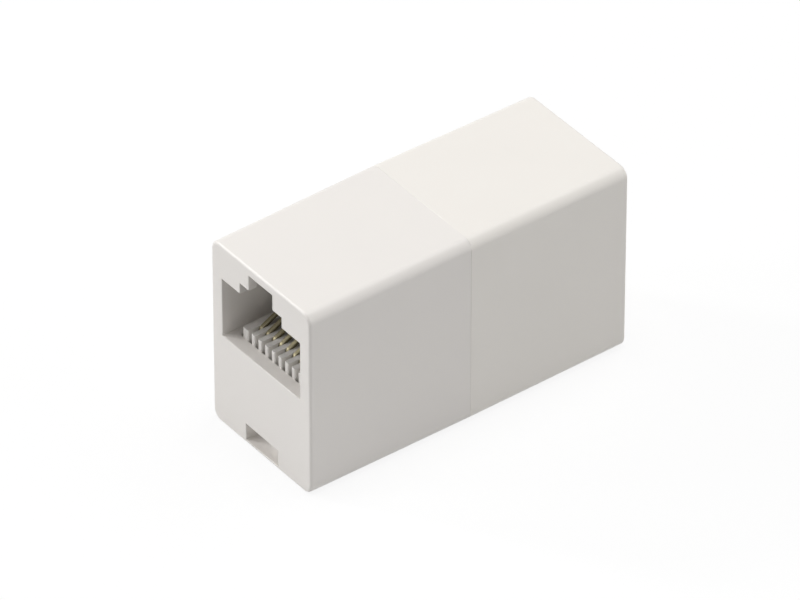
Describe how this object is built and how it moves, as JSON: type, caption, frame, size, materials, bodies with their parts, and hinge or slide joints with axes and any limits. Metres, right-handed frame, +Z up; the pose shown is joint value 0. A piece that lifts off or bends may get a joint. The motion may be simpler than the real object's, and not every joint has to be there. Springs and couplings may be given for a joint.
{
  "type": "rj45 inline coupler",
  "caption": "Ivory box-shaped inline coupler with a keyed 8-position modular jack in each end, joined pin to pin, to extend a network lead.",
  "frame": {"origin": "middle of the flat base that the coupler rests on", "axes": "+X to the right looking into the front jack, +Y along the body into the front jack, +Z up through the latch keyways"},
  "size_m": [0.0152, 0.0366, 0.0209],
  "materials": {
    "ivory_housing": "moulded ABS, fine satin",
    "ivory_insert": "moulded polyester, satin",
    "gold_contact": "gold flash over nickel on stamped strip",
    "splice": "tinned copper sleeve",
    "link_blue": "extruded PVC insulation",
    "link_orange": "extruded PVC insulation",
    "link_black": "extruded PVC insulation",
    "link_red": "extruded PVC insulation",
    "link_green": "extruded PVC insulation",
    "link_yellow": "extruded PVC insulation",
    "link_brown": "extruded PVC insulation",
    "link_white": "extruded PVC insulation"
  },
  "bodies": {
    "root": {"front_housing": "ivory_housing", "rear_housing": "ivory_housing", "front_insert": "ivory_insert", "rear_insert": "ivory_insert", "front_contact_1": "gold_contact", "front_contact_2": "gold_contact", "front_contact_3": "gold_contact", "front_contact_4": "gold_contact", "front_contact_5": "gold_contact", "front_contact_6": "gold_contact", "front_contact_7": "gold_contact", "front_contact_8": "gold_contact", "rear_contact_1": "gold_contact", "rear_contact_2": "gold_contact", "rear_contact_3": "gold_contact", "rear_contact_4": "gold_contact", "rear_contact_5": "gold_contact", "rear_contact_6": "gold_contact", "rear_contact_7": "gold_contact", "rear_contact_8": "gold_contact", "link_wire_1": "link_blue", "link_wire_2": "link_orange", "link_wire_3": "link_black", "link_wire_4": "link_red", "link_wire_5": "link_green", "link_wire_6": "link_yellow", "link_wire_7": "link_brown", "link_wire_8": "link_white", "front_splices": "splice", "rear_splices": "splice"}
  },
  "joints": []
}
